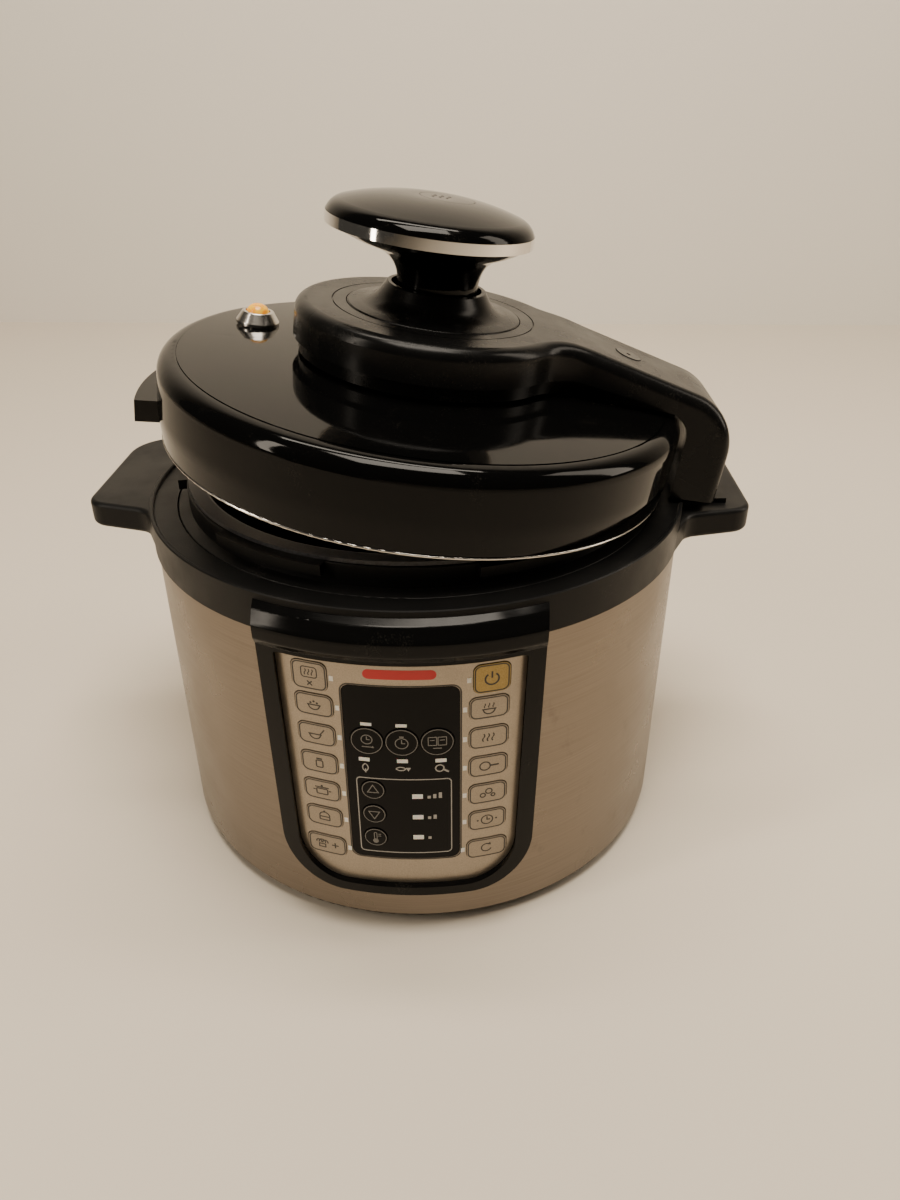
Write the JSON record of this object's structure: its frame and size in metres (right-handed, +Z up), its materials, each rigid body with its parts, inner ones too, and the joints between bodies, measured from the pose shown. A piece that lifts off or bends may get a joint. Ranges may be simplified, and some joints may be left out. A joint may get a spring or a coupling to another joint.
{
  "type": "electric pressure cooker",
  "caption": "Round countertop pressure cooker with a side-hinged locking lid on an arm, a disc knob with a steam button, and a front key panel.",
  "frame": {"origin": "on the table, on the upright axis of the round body", "axes": "+Z up; the control panel faces -Y; the lid's hinge and arm are at +X; the condensate cup is at +Y"},
  "size_m": [0.354, 0.3125, 0.3348],
  "materials": {
    "shell": "vertical brushed stainless steel",
    "collar": "satin black moulded plastic, finely textured",
    "base": "black moulded plastic",
    "feet": "black rubber",
    "hardware": "zinc-plated or stainless steel",
    "arm": "black plastic, satin to gloss",
    "lid": "high-gloss black plastic",
    "lid_steel": "polished stainless steel",
    "seal": "translucent grey silicone rubber",
    "chrome": "bright chrome plating",
    "valve": "glossy amber plastic",
    "pot": "aluminium with a dark non-stick coating",
    "aluminium": "bare cast or drawn aluminium",
    "bezel": "gloss black plastic",
    "faceplate": "champagne-silver metallic finish with printed legends",
    "window": "smoked gloss black window",
    "key": "champagne-silver metallic paint",
    "window_key": "gloss black with a printed pale ring",
    "lens": "milky white light guides",
    "board": "green circuit board with black parts",
    "cup": "smoky grey clear plastic"
  },
  "bodies": {
    "cooker": {"base_pan": "base", "feet": "feet", "base_screws": "hardware", "outer_shell": "shell", "top_collar": "collar", "hinge_tower": "collar", "outer_pot": "aluminium", "bayonet_ring": "collar", "inner_pot": "pot", "heating_plate": "aluminium", "heating_element": "hardware", "power_board": "board", "power_inlet": "base", "inlet_pins": "hardware", "panel_bezel": "bezel", "faceplate": "faceplate", "display_window": "window", "indicator_lenses": "lens", "control_board": "board", "sensor_spring": "hardware"},
    "arm": {"lid_arm": "arm", "arm_base": "arm", "arm_screw_cap": "arm", "hinge_pin": "hardware", "hinge_spring": "hardware"},
    "lid": {"lid_cover": "lid", "lid_top_plate": "lid", "steel_lid": "lid_steel", "sealing_ring": "seal", "inner_plate": "lid_steel", "float_bezel": "chrome", "release_valve": "collar", "knob_base": "arm", "knob_cap": "lid", "knob_band": "chrome", "button_spring": "hardware"},
    "steam_button": {"steam_button": "lid"},
    "float_pin": {"float_pin": "valve"},
    "condensate_cup": {"condensate_cup": "cup"},
    "temperature_sensor": {"temperature_sensor": "aluminium"},
    "cancel_key": {"cancel_key": "key"},
    "menu_key_1": {"menu_key_1": "key"},
    "menu_key_2": {"menu_key_2": "key"},
    "menu_key_3": {"menu_key_3": "key"},
    "menu_key_4": {"menu_key_4": "key"},
    "menu_key_5": {"menu_key_5": "key"},
    "custom_key": {"custom_key": "key"},
    "power_key": {"power_key": "key"},
    "menu_key_6": {"menu_key_6": "key"},
    "menu_key_7": {"menu_key_7": "key"},
    "menu_key_8": {"menu_key_8": "key"},
    "menu_key_9": {"menu_key_9": "key"},
    "menu_key_10": {"menu_key_10": "key"},
    "menu_key_11": {"menu_key_11": "key"},
    "delay_key": {"delay_key": "window_key"},
    "timer_key": {"timer_key": "window_key"},
    "menu_key": {"menu_key": "window_key"},
    "up_key": {"up_key": "window_key"},
    "down_key": {"down_key": "window_key"},
    "temperature_key": {"temperature_key": "window_key"}
  },
  "joints": [
    {"name": "lid_hinge", "type": "hinge", "parent": "cooker", "child": "arm", "pos_m": [0.148, 0, 0.2], "axis": [0, 1, 0], "range_deg": [-8, 70]},
    {"name": "lid_lock", "type": "hinge", "parent": "arm", "child": "lid", "pos_m": [0.00422, 0, 0.2404], "axis": [-0.1392, 0, -0.9903], "range_deg": [0, 30]},
    {"name": "steam_button_press", "type": "slide", "parent": "lid", "child": "steam_button", "axis": [-0.1392, 0, -0.9903], "range_m": [0, 0.0035], "stiffness_N_per_m": 500, "springref_m": -0.001, "deforming": ["button_spring"]},
    {"name": "float_pin_rise", "type": "slide", "parent": "lid", "child": "float_pin", "axis": [0.1392, 0, 0.9903], "range_m": [0, 0.0035]},
    {"name": "condensate_cup_slide", "type": "slide", "parent": "cooker", "child": "condensate_cup", "axis": [0, 1, 0], "range_m": [0, 0.04]},
    {"name": "temperature_sensor_press", "type": "slide", "parent": "cooker", "child": "temperature_sensor", "axis": [0, 0, 1], "range_m": [-0.0015, 0], "stiffness_N_per_m": 400, "springref_m": 0.001, "deforming": ["sensor_spring"]},
    {"name": "cancel_key_press", "type": "slide", "parent": "cooker", "child": "cancel_key", "axis": [0, 1, 0], "range_m": [0, 0.0006], "stiffness_N_per_m": 800, "springref_m": -0.0003},
    {"name": "menu_key_1_press", "type": "slide", "parent": "cooker", "child": "menu_key_1", "axis": [0, 1, 0], "range_m": [0, 0.0006], "stiffness_N_per_m": 800, "springref_m": -0.0003},
    {"name": "menu_key_2_press", "type": "slide", "parent": "cooker", "child": "menu_key_2", "axis": [0, 1, 0], "range_m": [0, 0.0006], "stiffness_N_per_m": 800, "springref_m": -0.0003},
    {"name": "menu_key_3_press", "type": "slide", "parent": "cooker", "child": "menu_key_3", "axis": [0, 1, 0], "range_m": [0, 0.0006], "stiffness_N_per_m": 800, "springref_m": -0.0003},
    {"name": "menu_key_4_press", "type": "slide", "parent": "cooker", "child": "menu_key_4", "axis": [0, 1, 0], "range_m": [0, 0.0006], "stiffness_N_per_m": 800, "springref_m": -0.0003},
    {"name": "menu_key_5_press", "type": "slide", "parent": "cooker", "child": "menu_key_5", "axis": [0, 1, 0], "range_m": [0, 0.0006], "stiffness_N_per_m": 800, "springref_m": -0.0003},
    {"name": "custom_key_press", "type": "slide", "parent": "cooker", "child": "custom_key", "axis": [0, 1, 0], "range_m": [0, 0.0006], "stiffness_N_per_m": 800, "springref_m": -0.0003},
    {"name": "power_key_press", "type": "slide", "parent": "cooker", "child": "power_key", "axis": [0, 1, 0], "range_m": [0, 0.0006], "stiffness_N_per_m": 800, "springref_m": -0.0003},
    {"name": "menu_key_6_press", "type": "slide", "parent": "cooker", "child": "menu_key_6", "axis": [0, 1, 0], "range_m": [0, 0.0006], "stiffness_N_per_m": 800, "springref_m": -0.0003},
    {"name": "menu_key_7_press", "type": "slide", "parent": "cooker", "child": "menu_key_7", "axis": [0, 1, 0], "range_m": [0, 0.0006], "stiffness_N_per_m": 800, "springref_m": -0.0003},
    {"name": "menu_key_8_press", "type": "slide", "parent": "cooker", "child": "menu_key_8", "axis": [0, 1, 0], "range_m": [0, 0.0006], "stiffness_N_per_m": 800, "springref_m": -0.0003},
    {"name": "menu_key_9_press", "type": "slide", "parent": "cooker", "child": "menu_key_9", "axis": [0, 1, 0], "range_m": [0, 0.0006], "stiffness_N_per_m": 800, "springref_m": -0.0003},
    {"name": "menu_key_10_press", "type": "slide", "parent": "cooker", "child": "menu_key_10", "axis": [0, 1, 0], "range_m": [0, 0.0006], "stiffness_N_per_m": 800, "springref_m": -0.0003},
    {"name": "menu_key_11_press", "type": "slide", "parent": "cooker", "child": "menu_key_11", "axis": [0, 1, 0], "range_m": [0, 0.0006], "stiffness_N_per_m": 800, "springref_m": -0.0003},
    {"name": "delay_key_press", "type": "slide", "parent": "cooker", "child": "delay_key", "axis": [0, 1, 0], "range_m": [0, 0.0006], "stiffness_N_per_m": 800, "springref_m": -0.0003},
    {"name": "timer_key_press", "type": "slide", "parent": "cooker", "child": "timer_key", "axis": [0, 1, 0], "range_m": [0, 0.0006], "stiffness_N_per_m": 800, "springref_m": -0.0003},
    {"name": "menu_key_press", "type": "slide", "parent": "cooker", "child": "menu_key", "axis": [0, 1, 0], "range_m": [0, 0.0006], "stiffness_N_per_m": 800, "springref_m": -0.0003},
    {"name": "up_key_press", "type": "slide", "parent": "cooker", "child": "up_key", "axis": [0, 1, 0], "range_m": [0, 0.0006], "stiffness_N_per_m": 800, "springref_m": -0.0003},
    {"name": "down_key_press", "type": "slide", "parent": "cooker", "child": "down_key", "axis": [0, 1, 0], "range_m": [0, 0.0006], "stiffness_N_per_m": 800, "springref_m": -0.0003},
    {"name": "temperature_key_press", "type": "slide", "parent": "cooker", "child": "temperature_key", "axis": [0, 1, 0], "range_m": [0, 0.0006], "stiffness_N_per_m": 800, "springref_m": -0.0003}
  ]
}
